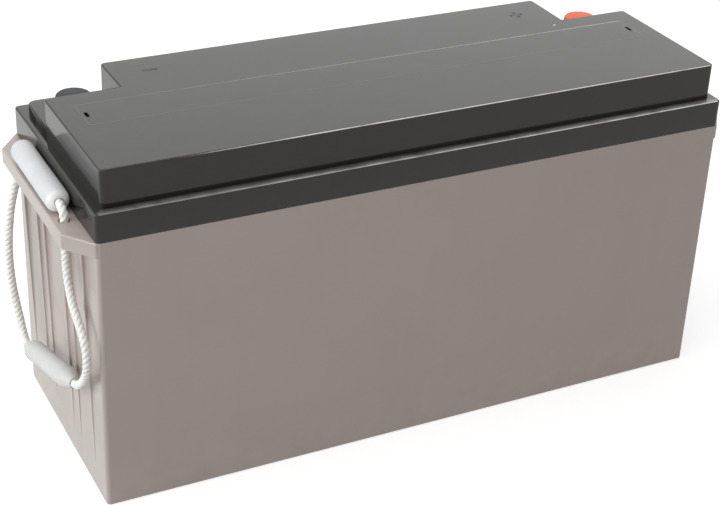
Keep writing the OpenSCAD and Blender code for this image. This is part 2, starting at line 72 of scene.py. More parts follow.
def box_mm(node):
    """Lowest and highest corner of a solid, in millimetres."""
    return [[round(value / MM, 2) for value in corner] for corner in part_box(node)]


def middle(node, axis):
    """Middle of a solid's box along one axis."""
    low, high = box_mm(node)
    return (low[axis] + high[axis]) / 2


# Container
CASE_X, CASE_Y, TOP = box_mm("lid")[1]
WALL_TOP = box_mm("lid")[0][2]
CASE_R, SIDE_WALL, END_WALL, CASE_FLOOR = 3.0, 5.0, 6.5, 5.0
TONGUE_INSET = 1.5
FLANGE_X = box_mm("container")[1][0]
FLANGE_LOW = box_mm("left_rope_anchor")[0][2]
FLANGE_ROOT_X, FLANGE_ROOT_Y, FLANGE_EDGE_Y = CASE_X - 6.0, CASE_Y - 0.5, 64.5
GUSSET_REACH, GUSSET_HALF, GUSSET_FOOT = 3.0, 1.5, 18.0
GUSSETS = [3.0 + side * y for y in (19.5, 35.0, 64.0) for side in (-1, 1)]

# Lid and vent cover
BAND_TOP = WALL_TOP + 19.5
FLOOR_TOP = BAND_TOP + 6.0
LID_WALL, GROOVE_INSET = 4.0, 1.35
BLOCK_X, BLOCK_FRONT, BLOCK_REAR = CASE_X - 6.0, 6.5 - CASE_Y, CASE_Y - 8.5
REAR_LEFT, REAR_RIGHT, FRONT_BLOCK_REAR = 52.0 - BLOCK_X, BLOCK_X - 54.0, BLOCK_REAR - 43.0
BLOCK_R, NOOK_R, PAD_R = 3.0, 0.8, 6.0
MARK_INSET, MARK_HALF, STROKE_HALF = 27.5, 5.0, 1.0
DOT_X, DOT_Y, DOT_R = REAR_RIGHT - 11.5, FRONT_BLOCK_REAR - 7.5, 1.75
COVER_X, COVER_Y, _ = box_mm("vent_cover")[1]
SEAT = box_mm("vent_cover")[0][2]
COVER_R, COVER_SEAM = 2.0, 0.3

# Terminals and caps, by side: -1 is negative and 1 is positive
TERMINAL_X = {-1: middle("negative_terminal", 0), 1: middle("positive_terminal", 0)}
TERMINAL_Y = middle("negative_terminal", 1)
STEM_FOOT, HEAD_TOP = (corner[2] for corner in box_mm("negative_terminal"))
STEM_R, HEAD_R, BORE_R = 6.0, 8.5, 9.8
TAPPED_R, TAPPED_DEPTH, THREAD_PITCH, THREAD_DEPTH = 3.4, 15.0, 1.25, 0.55
CAP_R, CAP_BORE, CAP_HEIGHT = 12.25, 10.05, 11.3
CAP_WALL, CAP_EDGE, CAP_CROWN = 2.2, 2.5, 0.6

# Ropes and the tubes on them
ROPE_X, ROPE_Y, ROPE_D, HOLE_R = CASE_X + 8.0, 48.0, 5.8, 3.6
GRIP_R, GRIP_END_R, SLEEVE_R, TUBE_BORE = 7.2, 4.8, 7.75, 3.2


# Camera

def aim_camera():
    """Camera at the photograph's viewing angle."""
    azimuth, elevation, roll = (math.radians(a) for a in (-27.458, 29.138, 2.468))
    distance, aside, below = 1181.485, 7.355, 20.094
    back = Vector((math.sin(azimuth) * math.cos(elevation),
                   -math.cos(azimuth) * math.cos(elevation), math.sin(elevation)))
    level = (-back).cross(UP).normalized()
    rise = level.cross(-back)
    right = math.cos(roll) * level + math.sin(roll) * rise
    up = -math.sin(roll) * level + math.cos(roll) * rise
    place = UP * (TOP / 2) + back * distance - right * aside - up * below
    data = bpy.data.cameras.new("camera")
    data.sensor_fit, data.sensor_width, data.lens = "HORIZONTAL", 36, 82.7535
    data.clip_start, data.clip_end = 0.05, 50
    camera = bpy.data.objects.new("camera", data)
    turn = Matrix((right, up, back)).transposed().to_4x4()
    camera.matrix_world = Matrix.Translation(place * MM) @ turn
    bpy.context.scene.collection.objects.link(camera)
    bpy.context.scene.camera = camera


aim_camera()


# Meshes

def new_mesh():
    """Empty mesh with a layer for worn edges, which on the rope holds painted shade in the grooves, and one
    for painted highlights and painted light.
    """
    bm = bmesh.new()
    bm.verts.layers.float.new("edge")
    bm.verts.layers.float.new("pale")
    return bm


def make_piece(name, bm, material, body=None, replaced=(), flat_faces=True):
    """Object from a mesh in millimetres, smooth over its roundings and flat on its large faces."""
    bmesh.ops.scale(bm, vec=(MM, MM, MM), verts=bm.verts)
    for face in bm.faces:
        face.smooth = True
    mesh = bpy.data.meshes.new(name)
    bm.to_mesh(mesh)
    bm.free()
    piece = bpy.data.objects.new(name, mesh)
    bpy.context.scene.collection.objects.link(piece)
    mesh.materials.append(material)
    if flat_faces:
        piece.modifiers.new("normals", "WEIGHTED_NORMAL").weight = 100
    if body:
        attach(piece, body)
    if replaced:
        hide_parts(*replaced)
    return piece


def clamp(value):
    """The value, kept between 0 and 1."""
    return min(1.0, max(0.0, value))


def quarter(steps):
    """Angles of a quarter turn."""
    return [math.radians(90 * k / steps) for k in range(steps + 1)]


def outline(points, radii, inset=0.0, steps=6):
    """Outline of a polygon, counter-clockwise, with rounded corners, moved inwards by inset."""
    smallest = 0.05
    result, count = [], len(points)
    for i in range(count):
        corner = Vector(points[i])
        before = (corner - Vector(points[i - 1])).normalized()
        after = (Vector(points[(i + 1) % count]) - corner).normalized()
        turn = before.x * after.y - before.y * after.x
        side_a, side_b = Vector((-before.y, before.x)), Vector((-after.y, after.x))
        miter = (side_a + side_b) / (1 + side_a.dot(side_b))
        if radii[i] <= 0:
            result.append(corner + miter * inset)
            continue
        sign = 1 if turn > 0 else -1
        radius = max(radii[i] - sign * inset, smallest)
        centre = corner + miter * (inset + sign * radius)
        start = math.atan2(-sign * side_a.y, -sign * side_a.x)
        sweep = math.atan2(turn, before.dot(after))
        result += [centre + radius * Vector((math.cos(start + sweep * k / steps),
                                             math.sin(start + sweep * k / steps)))
                   for k in range(steps + 1)]
    return result


def box_outline(x, front, rear, radius, inset=0.0, radius_rear=None):
    """Outline of a rounded box that reaches as far to the left as to the right."""
    rear_r = radius if radius_rear is None else radius_rear
    return outline([(-x, front), (x, front), (x, rear), (-x, rear)],
                   [radius, radius, rear_r, rear_r], inset)


def circle(x, y, radius, count=40):
    """Points of a circle, counter-clockwise."""
    return [Vector((x + radius * math.cos(2 * math.pi * k / count),
                    y + radius * math.sin(2 * math.pi * k / count))) for k in range(count)]


def ring_of(bm, points, z, edge=0.0):
    """Vertices of an outline at one height, with their wear."""
    layer = bm.verts.layers.float["edge"]
    ring = [bm.verts.new((p[0], p[1], z)) for p in points]
    for vert in ring:
        vert[layer] = edge
    return ring


def bridge(bm, low, high, inwards=False):
    """Faces between two rings, which look outwards or, in a hole, inwards."""
    count = len(low)
    for k in range(count):
        n = (k + 1) % count
        corners = (low[k], low[n], high[n], high[k])
        bm.faces.new(corners[::-1] if inwards else corners)


def stack(bm, make, levels, inwards=False):
    """Walls through a list of levels (inset, z, edge), and their rings."""
    rings = [ring_of(bm, make(inset), z, edge) for inset, z, edge in levels]
    for low, high in zip(rings, rings[1:]):
        bridge(bm, low, high, inwards)
    return rings


def top_round(radius, z, steps=4):
    """Levels of a rounded upper edge that ends at height z."""
    return [(radius * (1 - math.cos(a)), z - radius * (1 - math.sin(a)), 1.0 if a > 0 else 0.0)
            for a in quarter(steps)]


def foot_round(radius, z, steps=3):
    """Levels of a rounded lower edge that starts at height z."""
    return [(radius * (1 - math.sin(a)), z + radius * (1 - math.cos(a)), 1.0) for a in quarter(steps)]


def hole_mouth(radius, z, steps=3):
    """Levels of a rounded edge at the top of a hole, from the flat face downwards."""
    return [(-radius * (1 - math.sin(a)), z - radius * (1 - math.cos(a)), 1.0) for a in quarter(steps)]


def cover_face(bm, rings, up=True):
    """Flat face between an outer ring and the rings of its holes."""
    edges = []
    for ring in rings:
        for k, vert in enumerate(ring):
            other = ring[(k + 1) % len(ring)]
            edges.append(bm.edges.get((vert, other)) or bm.edges.new((vert, other)))
    made = bmesh.ops.triangle_fill(bm, use_beauty=True, use_dissolve=False, edges=edges)
    for face in (g for g in made["geom"] if isinstance(g, bmesh.types.BMFace)):
        face.normal_update()
        if (face.normal.z > 0) != up:
            face.normal_flip()


def lathe(bm, profile, start, end, count=48):
    """Turned shape round the line from start; the profile is a list of (radius, place along the line)."""
    axis = (end - start).normalized()
    across = (Vector((1, 0, 0)) - axis * axis.x).normalized()
    other = axis.cross(across)
    rings = []
    for radius, along in profile:
        centre = start + axis * along
        if radius <= 0:
            rings.append([bm.verts.new(centre)])
            continue
        rings.append([bm.verts.new(centre + radius * (across * math.cos(t) + other * math.sin(t)))
                      for t in (2 * math.pi * k / count for k in range(count))])
    for low, high in zip(rings, rings[1:]):
        for k in range(count):
            n = (k + 1) % count
            if len(low) == 1:
                bm.faces.new((low[0], high[n], high[k]))
            elif len(high) == 1:
                bm.faces.new((low[k], low[n], high[0]))
            else:
                bm.faces.new((low[k], low[n], high[n], high[k]))


# Room for rounding where a point is tested against a wall
SLACK = 0.1


def within(p, x, front, rear):
    """Whether a point lies inside a box of half length x, or on its walls."""
    return abs(p.x) < x + SLACK and front - SLACK < p.y < rear + SLACK


def inner_faces(bm, node, inside):
    """Faces of a CAD node that lie wholly inside, such as the walls between the cells."""
    mesh = NODES[node].data
    places = [v.co / MM for v in mesh.vertices]
    made = {}
    for polygon in mesh.polygons:
        if all(inside(places[i]) for i in polygon.vertices):
            for i in polygon.vertices:
                if i not in made:
                    made[i] = bm.verts.new(places[i])
            corners = [made[i] for i in polygon.vertices]
            if not bm.faces.get(corners):
                bm.faces.new(corners)


# Materials

def feed(tree, socket, value):
    """Sets a socket, or links it where the value is another socket."""
    if isinstance(value, bpy.types.NodeSocket):
        tree.links.new(value, socket)
    else:
        socket.default_value = value


def maths(tree, operation, a, b):
    """Result of a sum with two values, each a socket or a number."""
    node = tree.nodes.new("ShaderNodeMath")
    node.operation = operation
    feed(tree, node.inputs[0], a)
    feed(tree, node.inputs[1], b)
    return node.outputs[0]


class Look:
    """Node material with one shader and textures in the part's own coordinates, in metres."""

    def __init__(self, name, colour, roughness=0.4):
        self.material = bpy.data.materials.new(name)
        self.material.use_nodes = True
        self.tree = self.material.node_tree
        self.shader = self.tree.nodes["Principled BSDF"]
        self.place = self.add("ShaderNodeTexCoord").outputs["Object"]
        self.colour = (*colour, 1)
        self.normal = None
        self.put("Base Color", self.colour)
        self.put("Roughness", roughness)

    def add(self, kind, inputs=None, **settings):
        """New node with its settings and its inputs."""
        node = self.tree.nodes.new(kind)
        for key, value in settings.items():
            setattr(node, key, value)
        for key, value in (inputs or {}).items():
            feed(self.tree, node.inputs[key], value)
        return node

    def put(self, name, value):
        """Sets or links an input of the shader."""
        feed(self.tree, self.shader.inputs[name], value)

    def mapped(self, place, **inputs):
        """Coordinates that are stretched or turned."""
        return self.add("ShaderNodeMapping", {"Vector": place, **inputs}).outputs["Vector"]

    def noise(self, scale, detail=2.0, stretch=None, place=None, rough=0.5):
        """Cloudy pattern, finer with a larger scale."""
        place = place or self.place
        if stretch:
            place = self.mapped(place, Scale=stretch)
        inputs = {"Vector": place, "Scale": scale, "Detail": detail, "Roughness": rough}
        return self.add("ShaderNodeTexNoise", inputs).outputs["Fac"]

    def spots(self, scale, size):
        """Small round spots, one in some of the cells of a grid."""
        cells = self.add("ShaderNodeTexVoronoi", {"Vector": self.place, "Scale": scale}).outputs
        near = self.span(cells["Distance"], size, size * 0.5)
        chance = self.add("ShaderNodeSeparateColor", {0: cells["Color"]}).outputs[0]
        return self.times(near, self.span(chance, 0.8, 0.85))

    def span(self, value, low, high, to_low=0.0, to_high=1.0):
        """The value, moved from one range to another and kept inside it."""
        inputs = {"Value": value, "From Min": low, "From Max": high, "To Min": to_low, "To Max": to_high}
        return self.add("ShaderNodeMapRange", inputs).outputs["Result"]

    def times(self, a, b):
        """Product of two values."""
        return maths(self.tree, "MULTIPLY", a, b)

    def blend(self, factor, a, b):
        """Colour between a and b."""
        return self.add("ShaderNodeMix", {0: factor, 6: a, 7: b}, data_type="RGBA").outputs[2]

    def shade(self, amount):
        """The material's colour, lighter or darker."""
        return tuple(c * amount for c in self.colour[:3]) + (1,)

    def painted(self, layer):
        """Amount that the mesh carries in a layer of its vertices."""
        return self.add("ShaderNodeAttribute", attribute_name=layer).outputs["Fac"]

    def bump(self, height, strength, distance):
        """Relief, on top of the relief that is there already."""
        inputs = {"Height": height, "Strength": strength, "Distance": distance}
        if self.normal:
            inputs["Normal"] = self.normal
        self.normal = self.add("ShaderNodeBump", inputs).outputs["Normal"]
        self.put("Normal", self.normal)


def moulded_plastic(name, colour, roughness, specular, cloud, wear, grain, scratch, specks):
    """Moulded plastic with faint clouds, flow streaks, fine scratches, dust specks, rubbed edges, and
    painted highlights where the pale layer is set.
    """
    dust, painted_light_pale, warm_gloss = (0.55, 0.54, 0.5, 1), (0.75, 0.75, 0.72, 1), (1.0, 0.972, 0.935, 1)
    look = Look(name, colour)
    clouds = look.span(look.noise(14, 3), 0.3, 0.7)
    streaks = look.span(look.noise(90, 3, stretch=(1, 1, 0.12)), 0.35, 0.65, 0, 0.35)
    tone = look.blend(clouds, look.shade(1 - cloud), look.shade(1 + cloud))
    tone = look.blend(streaks, tone, look.shade(1 + 1.6 * cloud))
    patches = look.span(look.noise(26, 2), 0.52, 0.62, 0, scratch)
    lines = look.times(look.span(look.noise(420, 4, stretch=(0.05, 1, 1)), 0.66, 0.72), patches)
    tone = look.blend(look.times(lines, 0.5), tone, look.shade(1 + 5 * cloud))
    tone = look.blend(look.times(look.spots(150, 0.05), specks), tone, dust)
    worn = look.times(look.painted("edge"), look.span(look.noise(70, 4), 0.35, 0.7, 0.15, 1))
    tone = look.blend(look.times(worn, wear), tone, look.shade(2.0))
    # Painted highlight: the pale layer lightens the colour where a highlight or glint is painted in.
    painted_highlight = look.times(look.painted("pale"), look.span(look.noise(60, 3), 0.3, 0.6, 0.45, 1))
    look.put("Base Color", look.blend(painted_highlight, tone, painted_light_pale))
    gloss = look.span(look.noise(34, 4), 0.3, 0.7, roughness - 0.05, roughness + 0.06)
    look.put("Roughness", maths(look.tree, "ADD", gloss, look.times(lines, 0.15)))
    look.put("Specular IOR Level", specular)
    look.put("Specular Tint", warm_gloss)
    look.bump(look.noise(3400, 2), grain, 0.0002)
    look.bump(look.noise(16, 2), 0.08, 0.0012)
    return look.material


def rope_material():
    """Twisted rope of white yarn: fibres run along the strands, with painted shade in the grooves."""
    groove_painted_shade, yellowed = (0.62, 0.60, 0.56, 1), (0.84, 0.80, 0.74, 1)
    look = Look("rope_yarn", (0.92, 0.905, 0.88))
    uv = look.add("ShaderNodeUVMap", uv_map="strand").outputs["UV"]
    fibres = look.noise(1.0, 3, stretch=(34, 420, 1), place=uv)
    yarn = {"Vector": look.mapped(uv, Scale=(5.0, 520, 1)), "Scale": 1.0, "Distortion": 1.2}
    twist = look.add("ShaderNodeTexWave", yarn, wave_type="BANDS", bands_direction="DIAGONAL")
    tone = look.blend(look.span(fibres, 0.35, 0.7), look.shade(0.93), look.shade(1.03))
    # Painted shade: the sides of the strands darken towards the grooves
    tone = look.blend(look.times(look.painted("edge"), 0.18), tone, groove_painted_shade)
    tone = look.blend(look.span(look.noise(45, 2), 0.5, 0.75, 0, 0.2), tone, yellowed)
    look.put("Base Color", tone)
    look.put("Roughness", look.span(fibres, 0.3, 0.7, 0.62, 0.9))
    look.put("Specular IOR Level", 0.3)
    look.put("Sheen Weight", 0.25)
    look.put("Sheen Roughness", 0.5)
    look.put("Subsurface Weight", 0.2)
    look.put("Subsurface Radius", (0.002, 0.0018, 0.0015))
    look.bump(twist.outputs["Fac"], 0.3, 0.0003)
    look.bump(fibres, 0.25, 0.0003)
    return look.material


def tube_material(name, colour, roughness):
    """Soft white plastic tube with faint rings, smudges, and painted light where the pale layer is set."""
    painted_light_pale = (0.93, 0.92, 0.91, 1)
    look = Look(name, colour)
    smudge = look.span(look.noise(70, 4), 0.4, 0.75)
    tone = look.blend(look.times(smudge, 0.5), look.shade(1.0), look.shade(0.86))
    rings = look.noise(160, 3, stretch=(0.3, 1, 0.3))
    tone = look.blend(look.span(rings, 0.45, 0.7, 0, 0.25), tone, look.shade(1.08))
    # Painted light: the pale layer lightens places that fall in shade
    look.put("Base Color", look.blend(look.painted("pale"), tone, painted_light_pale))
    look.put("Roughness", look.span(smudge, 0, 1, roughness, roughness + 0.14))
    look.put("Subsurface Weight", 0.3)
    look.put("Subsurface Radius", (1.0, 1.0, 1.0))
    look.put("Subsurface Scale", 0.004)
    look.put("Specular IOR Level", 0.45)
    look.bump(look.noise(900, 3), 0.12, 0.0002)
    look.bump(rings, 0.12, 0.0005)
    return look.material


def rubber_material(name, colour, roughness, dusty):
    """Soft vinyl or rubber with a dusty, slightly uneven skin."""
    dust_grey = (0.6, 0.58, 0.55, 1)
    look = Look(name, colour)
    dust = look.span(look.noise(300, 5), 0.45, 0.75)
    clouds = look.span(look.noise(110, 3), 0.3, 0.7)
    tone = look.blend(clouds, look.shade(0.92), look.shade(1.08))
    look.put("Base Color", look.blend(look.times(dust, dusty), tone, dust_grey))
    look.put("Roughness", look.span(dust, 0, 1, roughness, roughness + 0.15))
    look.put("Specular IOR Level", 0.2)
    look.bump(look.noise(2200, 2), 0.12, 0.0002)
    return look.material


def cast_lead(name, colour, roughness, metal):
    """Cast or plated metal with grain, tarnish and fine tool marks."""
    look = Look(name, colour)
    tarnish = look.span(look.noise(130, 5), 0.35, 0.7)
    marks = look.noise(500, 3, stretch=(1, 1, 0.15))
    tone = look.blend(tarnish, look.shade(1.1), look.shade(0.68))
    look.put("Base Color", look.blend(look.span(marks, 0.5, 0.75, 0, 0.3), tone, look.shade(1.3)))
    look.put("Roughness", look.span(tarnish, 0, 1, roughness, roughness + 0.2))
    look.put("Metallic", metal)
    look.bump(look.noise(800, 4), 0.18, 0.0003)
    look.bump(marks, 0.1, 0.0002)
    return look.material


def pasted_plate(name, colour):
    """Plate of dried paste in a lead grid."""
    lead_grey = (0.3, 0.3, 0.31, 1)
    look = Look(name, colour, roughness=0.85)
    lumps = look.noise(240, 5)
    upright = look.mapped(look.place, Rotation=(math.radians(90), 0, math.radians(90)))
    bars = {"Vector": upright, "Scale": 1.0, "Mortar Size": 0.0006, "Brick Width": 0.012,
            "Row Height": 0.008}
    grid = look.add("ShaderNodeTexBrick", bars, offset=0.0).outputs["Fac"]
    tone = look.blend(look.span(lumps, 0.3, 0.7), look.shade(0.75), look.shade(1.2))
    look.put("Base Color", look.blend(look.times(grid, 0.6), tone, lead_grey))
    look.bump(lumps, 0.4, 0.0006)
    return look.material


def fibre_mat():
    """Pressed glass fibre mat."""
    look = Look("glass_mat", (0.82, 0.82, 0.78), roughness=0.9)
    fibres = look.noise(500, 6, stretch=(1, 1, 0.25), rough=0.7)
    look.put("Base Color", look.blend(look.span(fibres, 0.3, 0.7), look.shade(0.85), look.shade(1.08)))
    look.put("Sheen Weight", 0.2)
    look.bump(fibres, 0.5, 0.0005)
    return look.material


CASE = moulded_plastic("case_plastic", (0.40, 0.338, 0.318), roughness=0.33, specular=0.5, cloud=0.02,
                       wear=0.12, grain=0.05, scratch=0.3, specks=0.5)
GLOSSY = {"specular": 0.39, "cloud": 0.08, "wear": 0.5, "grain": 0.04, "scratch": 0.15, "specks": 0.08}
LID = moulded_plastic("lid_plastic", (0.014, 0.0135, 0.013), roughness=0.13, **GLOSSY)
COVER = moulded_plastic("cover_plastic", (0.015, 0.0145, 0.014), roughness=0.14, **GLOSSY)
ROPE = rope_material()
SLEEVE = tube_material("sleeve_tube", (0.60, 0.595, 0.62), roughness=0.42)
GRIP = tube_material("grip_tube", (0.60, 0.58, 0.575), roughness=0.5)
BLACK_CAP = rubber_material("black_vinyl", (0.022, 0.023, 0.026), roughness=0.45, dusty=0.05)
RED_CAP = rubber_material("red_vinyl", (0.97, 0.165, 0.072), roughness=0.45, dusty=0.04)
BLACK_RESIN = rubber_material("black_resin", (0.02, 0.02, 0.021), roughness=0.25, dusty=0.04)
RED_RESIN = rubber_material("red_resin", (0.42, 0.03, 0.02), roughness=0.25, dusty=0.03)
VALVE = rubber_material("valve_rubber", (0.022, 0.022, 0.022), roughness=0.6, dusty=0.12)
LEAD = cast_lead("cast_lead", (0.33, 0.335, 0.35), roughness=0.42, metal=0.85)
TERMINAL = cast_lead("terminal_metal", (0.62, 0.60, 0.56), roughness=0.28, metal=1.0)
POSITIVE_PLATE = pasted_plate("positive_paste", (0.10, 0.052, 0.034))
NEGATIVE_PLATE = pasted_plate("negative_paste", (0.18, 0.185, 0.195))
MAT = fibre_mat()


# Rope handles

def on_end(p, reach):
    """Point at the left end: distance from the wall past reach, place along Y, height from the flange."""
    return Vector((-CASE_X - reach - p[0], p[1], FLANGE_LOW + p[2]))


# The rope's route is given for the left end, from the front hole to the rear hole
GRIP_FRONT, GRIP_REAR = on_end((2, -51.7, -105.5), GRIP_R), on_end((7.9, 27.4, -123.5), GRIP_R)
LOOP_FRONT = [(4.6, -45.9, -11.5), (4.8, -46.8, -22.4), (5.5, -51.9, -32.6),
              (6.3, -60.3, -40.9), (6.3, -70.2, -48.5), (5.6, -78, -57.4),
              (5.1, -81.4, -67.3), (5.1, -80.6, -78.2), (5.2, -75.1, -88.9),
              (5.4, -62.6, -101.2)]
LOOP_REAR = [(12.6, 36.3, -123.5), (12.4, 43, -119.3), (12.6, 47.5, -112.3),
             (13.5, 50.3, -102.4), (14.8, 51.5, -90.7), (15.7, 51.6, -78.6),
             (16.1, 51.3, -65.8), (15.7, 50.7, -50.8), (14.2, 50, -35.4), (12, 49.4, -21.8)]
LOOP_START_GAP, LOOP_END_BEND = 0.3, Vector((-2.8, 0.6, -5.5))
SLEEVE_GAP, SLEEVE_DROP = 0.4, Vector((0, 0, -1))
SLEEVE_X, SLEEVE_Z = -CASE_X - SLEEVE_R - SLEEVE_GAP, WALL_TOP + SLEEVE_R + SLEEVE_GAP
SLEEVE_FRONT, SLEEVE_REAR = (Vector((SLEEVE_X, y, SLEEVE_Z)) for y in (-40, 42))
# Bends of the rope between the holes and the sleeve, measured from the top of each hole
FRONT_BEND = (0, 0, -10.5), (0, 0, -1), (0, 0.4, 4)
REAR_BEND = (0, -0.6, 4.5), (0, 0, -1), (0, 0, -10.5)
# Straight runs of the rope beside and inside the ends of the tubes on it
OUTER_RUN, INNER_RUN, SLEEVE_FRONT_RUN = 3, 8, 4


def smooth(route, steps=6):
    """Smooth curve through the points of a route."""
    points = []
    for i in range(len(route) - 1):
        a, b, c = route[max(i - 1, 0)], route[i], route[i + 1]
        d = route[min(i + 2, len(route) - 1)]
        for s in range(steps):
            t = s / steps
            points.append(0.5 * (2 * b + (c - a) * t + (2 * a - 5 * b + 4 * c - d) * t * t
                                 + (3 * b - a - 3 * c + d) * t ** 3))
    return points + [route[-1]]


def through_tube(front, rear, line):
    """Whole route of a rope from its two bent runs, with the straight run in the tube between them."""
    inside = [front[-1] + line * INNER_RUN, rear[0] - line * INNER_RUN]
    return smooth(front) + inside + smooth(rear)


def loop_path():
    """Free rope of the left handle, from the front hole through the hand grip to the rear hole."""
    line = (GRIP_REAR - GRIP_FRONT).normalized()
    start, end = (Vector((-ROPE_X, y, FLANGE_LOW - LOOP_START_GAP)) for y in (-ROPE_Y, ROPE_Y))
    front = [start] + [on_end(p, GUSSET_REACH) for p in LOOP_FRONT]
    front += [GRIP_FRONT - line * OUTER_RUN, GRIP_FRONT]
    rear = [GRIP_REAR, GRIP_REAR + line * OUTER_RUN]
    rear += [on_end(p, GUSSET_REACH) for p in LOOP_REAR] + [end + LOOP_END_BEND, end]
    return through_tube(front, rear, line)


def anchor_path():
    """Rope of the left handle inside the flange and the sleeve."""
    line = (SLEEVE_REAR - SLEEVE_FRONT).normalized()
    front_hole, rear_hole = (Vector((-ROPE_X, y, WALL_TOP)) for y in (-ROPE_Y, ROPE_Y))
    front = [front_hole + Vector(p) for p in FRONT_BEND]
    front += [SLEEVE_FRONT - line * SLEEVE_FRONT_RUN + SLEEVE_DROP, SLEEVE_FRONT]
    rear = [SLEEVE_REAR, SLEEVE_REAR + line * OUTER_RUN + SLEEVE_DROP]
    rear += [rear_hole + Vector(p) for p in REAR_BEND]
    return through_tube(front, rear, line)


def evenly(points, step):
    """The path again with points at even distances, and its length."""
    reach = [0.0]
    for a, b in zip(points, points[1:]):
        reach.append(reach[-1] + (b - a).length)
    count = max(2, round(reach[-1] / step))
    result, k = [], 0
    for i in range(count + 1):
        want = reach[-1] * i / count
        while k < len(points) - 2 and reach[k + 1] < want:
            k += 1
        t = (want - reach[k]) / max(reach[k + 1] - reach[k], 1e-9)
        result.append(points[k].lerp(points[k + 1], clamp(t)))
    return result, reach[-1]


# Strands of the rope: their number, radius and place beside the rope's middle, and the length of a turn
STRANDS, STRAND_R, STRAND_OFFSET, LAY = 3, 0.385 * ROPE_D, 0.115 * ROPE_D, 11.5
# Angles of a strand's points, and where painted shade on its sides starts towards the grooves and over what
# span
STRAND_ANGLES = [math.radians(a) for a in (-78, -64, -48, -32, -16, 0, 16, 32, 48, 64, 78)]
GROOVE_START, GROOVE_SPAN = 0.7, 0.66


def twisted_rope(name, path):
    """Rope of three strands laid together along a path; the strands meet at both ends of the path."""
    points, length = evenly(path, step=0.8)
    turns = round(length / LAY)
    bm = new_mesh()
    layer = bm.verts.layers.float["edge"]
    uv = bm.loops.layers.uv.new("strand")
    rings, count = [], len(points)
    for i, centre in enumerate(points):
        ahead, behind = points[min(i + 1, count - 1)], points[max(i - 1, 0)]
        direction = (ahead - behind).normalized()
        if i in (0, count - 1):
            direction = Vector((0, 0, math.copysign(1, direction.z)))
        across = (Vector((1, 0, 0)) - direction * direction.x).normalized()
        other = direction.cross(across)
        ring = []
        for j in range(STRANDS):
            towards = 2 * math.pi * (turns * i / (count - 1) + j / STRANDS)
            for a in STRAND_ANGLES:
                x = STRAND_OFFSET * math.cos(towards) + STRAND_R * math.cos(towards + a)
                y = STRAND_OFFSET * math.sin(towards) + STRAND_R * math.sin(towards + a)
                vert = bm.verts.new(centre + across * x + other * y)
                # Painted shade towards the grooves, kept in the edge layer
                vert[layer] = max(0.0, (abs(a) - GROOVE_START) / GROOVE_SPAN) ** 1.5
                ring.append(vert)
        rings.append(ring)
    around, per = len(rings[0]), len(STRAND_ANGLES)
    for i in range(count - 1):
        for k in range(around):
            n = (k + 1) % around
            face = bm.faces.new((rings[i][k], rings[i][n], rings[i + 1][n], rings[i + 1][k]))
            for loop, (u, v) in zip(face.loops, ((k, i), (k + 1, i), (k + 1, i + 1), (k, i + 1))):
                loop[uv].uv = (u / per, v * length / (count - 1) * MM)
    bm.faces.new(rings[0][::-1])
    bm.faces.new(rings[-1])
    piece = make_piece(name, bm, ROPE, flat_faces=False)
    return piece, [p * MM for p in points], length * MM


def grip_profile(length):
    """Profile of the hand grip: full in the middle, drawn in round the rope at both ends, hollow inside."""
    lip = [(2.95, -2.2), (3.2, -2.9), (3.5, -2.8), (3.9, -1.6), (4.35, -0.2), (GRIP_END_R, 1.6)]
    taper, steps, fullness = 9.9, 8, 1.8
    half = lip + [(GRIP_END_R + (GRIP_R - GRIP_END_R) * (1 - (1 - k / steps) ** fullness),
                   lip[-1][1] + taper * k / steps) for k in range(1, steps + 1)]
    profile = half + [(GRIP_R + 0.06, length * 0.4), (GRIP_R - 0.05, length * 0.62)]
    profile += [(r, length - a) for r, a in reversed(half)]
    return profile + [(TUBE_BORE, length - 3), (TUBE_BORE, 3), half[0]]


def sleeve_profile(length):
    """Profile of the sleeve: a thick tube, rounded at both ends and drawn in round the rope in front."""
    def rounded(radius):
        return [(SLEEVE_R - radius * (1 - math.sin(a)), radius * (1 - math.cos(a))) for a in quarter(6)]

    profile = rounded(4.3) + [(SLEEVE_R + 0.06, length * 0.3), (SLEEVE_R - 0.06, length * 0.65)]
    profile += [(r, length - a) for r, a in reversed(rounded(3.4))]
    profile += [(4.0, length - 0.1), (TUBE_BORE, length - 2), (3.0, 3), (3.02, 0.8), (TUBE_BORE, 0.15)]
    return profile + profile[:1]


def paint_sleeve_light(bm, side, front, line):
    """Painted light: paler plastic on the sleeve's front end and on its side towards the lid, where they
    fall in shade.
    """
    pale, end_reach = bm.verts.layers.float["pale"], 4
    for vert in bm.verts:
        along = (vert.co - front).dot(line)
        towards_lid = -side * (vert.co - front - line * along).x / SLEEVE_R
        vert[pale] = clamp(max(0.1 + 0.9 * towards_lid, 1 - along / end_reach))


def make_handle(side):
    """One rope handle; side is -1 at the left end and 1 at the right end."""
    word, body = ("left", "left_handle") if side < 0 else ("right", "right_handle")

    def place(p):
        return Vector((-p.x, -p.y, p.z)) if side > 0 else p

    bm = new_mesh()
    front, rear = place(GRIP_FRONT), place(GRIP_REAR)
    lathe(bm, grip_profile((rear - front).length), front, rear)
    grip = make_piece(f"{word}_hand_grip_tube", bm, GRIP, body, [f"{word}_hand_grip"],
                      flat_faces=False)
    loop, path, length = twisted_rope(f"{word}_hanging_rope", [place(p) for p in loop_path()])
    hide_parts(f"{word}_rope_loop")
    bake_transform(loop, "battery", body, start=(0, 0, 0.1842), end=(0, 0, 0.150))
    held, _, _ = twisted_rope(f"{word}_held_rope", [place(p) for p in anchor_path()])
    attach(held, "battery")
    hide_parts(f"{word}_rope_anchor")
    bm = new_mesh()
    front, rear = place(SLEEVE_FRONT), place(SLEEVE_REAR)
    lathe(bm, sleeve_profile((rear - front).length), front, rear)
    # Painted light on the sleeve's shaded end and lid side
    paint_sleeve_light(bm, side, front, (rear - front).normalized())
    make_piece(f"{word}_flange_sleeve", bm, SLEEVE, "battery", [f"{word}_top_sleeve"],
               flat_faces=False)


make_handle(-1)
make_handle(1)


# Container

